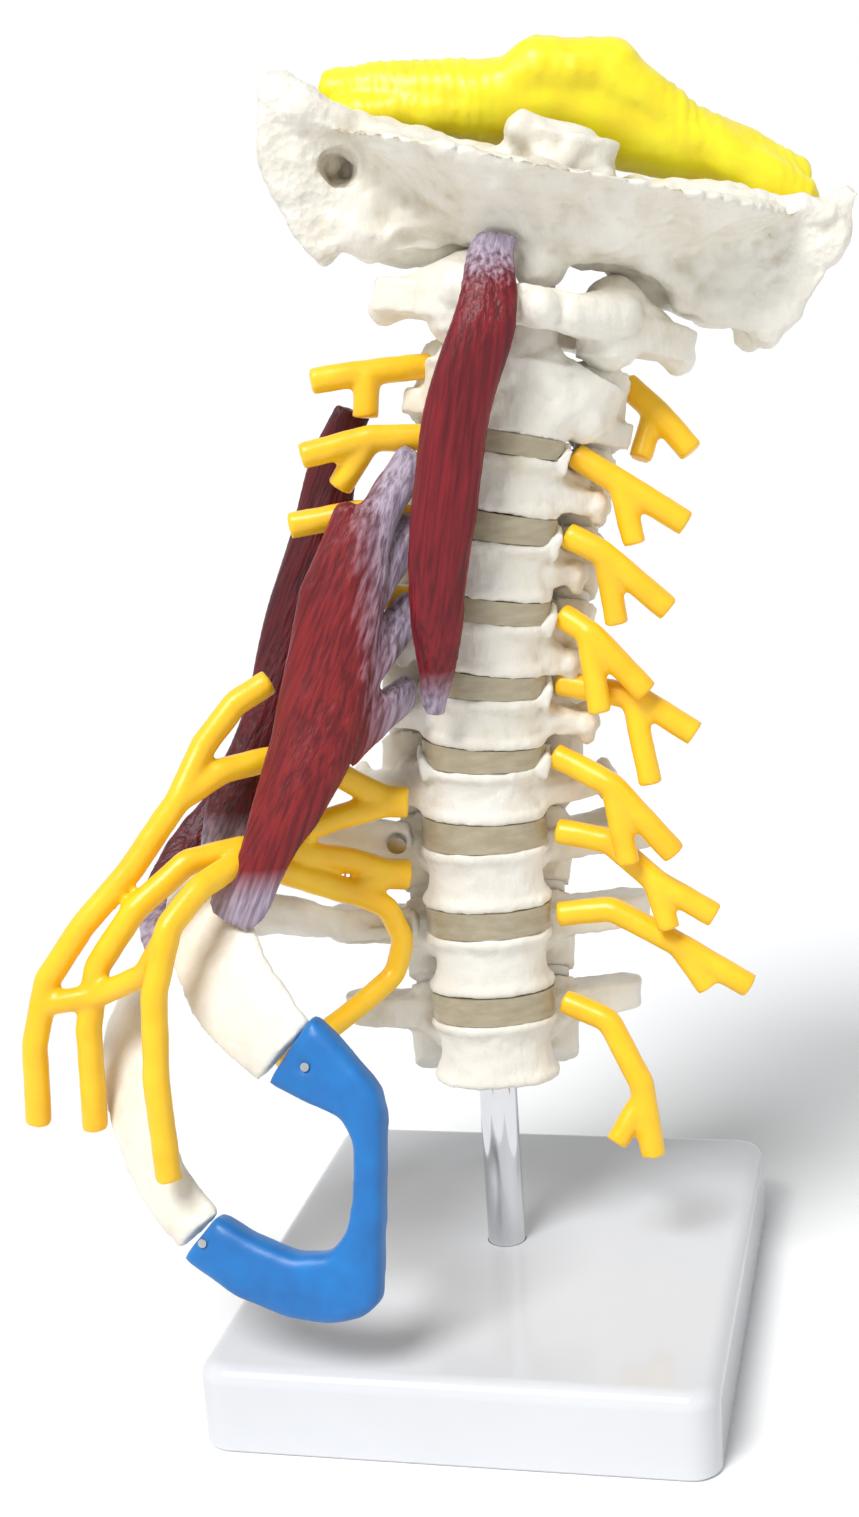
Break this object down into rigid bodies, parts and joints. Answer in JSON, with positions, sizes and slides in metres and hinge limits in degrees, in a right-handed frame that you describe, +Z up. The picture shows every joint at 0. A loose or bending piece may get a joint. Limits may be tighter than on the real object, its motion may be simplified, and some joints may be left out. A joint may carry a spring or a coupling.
{
  "type": "spine anatomy model",
  "caption": "Neck spine anatomy model with skull base, vertebrae, clear discs, nerves, neck muscles and two ribs with cartilage, standing on a chrome rod and a flat white base.",
  "frame": {"origin": "the middle of the rod, on the surface that the base stands on", "axes": "+Z up along the rod, -Y the front of the spine, +X to the viewer's right; the base is turned 12 degrees under the spine"},
  "size_m": [0.204, 0.1593, 0.3093],
  "materials": {
    "base_white": "gloss white moulding",
    "rod_chrome": "bright chrome",
    "steel": "plain steel",
    "brass": "plain brass",
    "bone": "off-white cast bone with fine grain",
    "disc_clear": "translucent grey-brown",
    "pad_clear": "clear silicone",
    "nerve_yellow": "smooth yellow-orange",
    "brain_yellow": "bright yellow with fine folds",
    "cord_orange": "dark orange",
    "muscle_red": "dark red fibres that fade to lilac-grey tendons",
    "cartilage_blue": "satin blue"
  },
  "bodies": {
    "root": {"arm_plexus": "nerve_yellow", "atlas_c1": "bone", "axis_c2": "bone", "base": "base_white", "brain_stem": "brain_yellow", "cartilage_pins": "steel", "costal_cartilage": "cartilage_blue", "disc_c2_c3": "disc_clear", "disc_c3_c4": "disc_clear", "disc_c4_c5": "disc_clear", "disc_c5_c6": "disc_clear", "disc_c6_c7": "disc_clear", "disc_c7_t1": "disc_clear", "disc_t1_t2": "disc_clear", "disc_t2_t3": "disc_clear", "joint_pads": "pad_clear", "longus_capitis": "muscle_red", "nerve_left_c2": "nerve_yellow", "nerve_left_c3": "nerve_yellow", "nerve_left_c4": "nerve_yellow", "nerve_left_c5": "nerve_yellow", "nerve_right_c2": "nerve_yellow", "nerve_right_c3": "nerve_yellow", "nerve_right_c4": "nerve_yellow", "nerve_right_c5": "nerve_yellow", "nerve_right_c6": "nerve_yellow", "nerve_right_c7": "nerve_yellow", "nerve_right_c8": "nerve_yellow", "nerve_right_t1": "nerve_yellow", "nerve_right_t2": "nerve_yellow", "rib_1": "bone", "rib_2": "bone", "rib_screws": "steel", "rod_insert": "brass", "scalenus_anterior": "muscle_red", "scalenus_medius": "muscle_red", "scalenus_posterior": "muscle_red", "skull_base": "bone", "spinal_cord": "cord_orange", "spine_wire": "steel", "support_rod": "rod_chrome", "vertebra_c3": "bone", "vertebra_c4": "bone", "vertebra_c5": "bone", "vertebra_c6": "bone", "vertebra_c7": "bone", "vertebra_t1": "bone", "vertebra_t2": "bone", "vertebra_t3": "bone"}
  },
  "joints": []
}
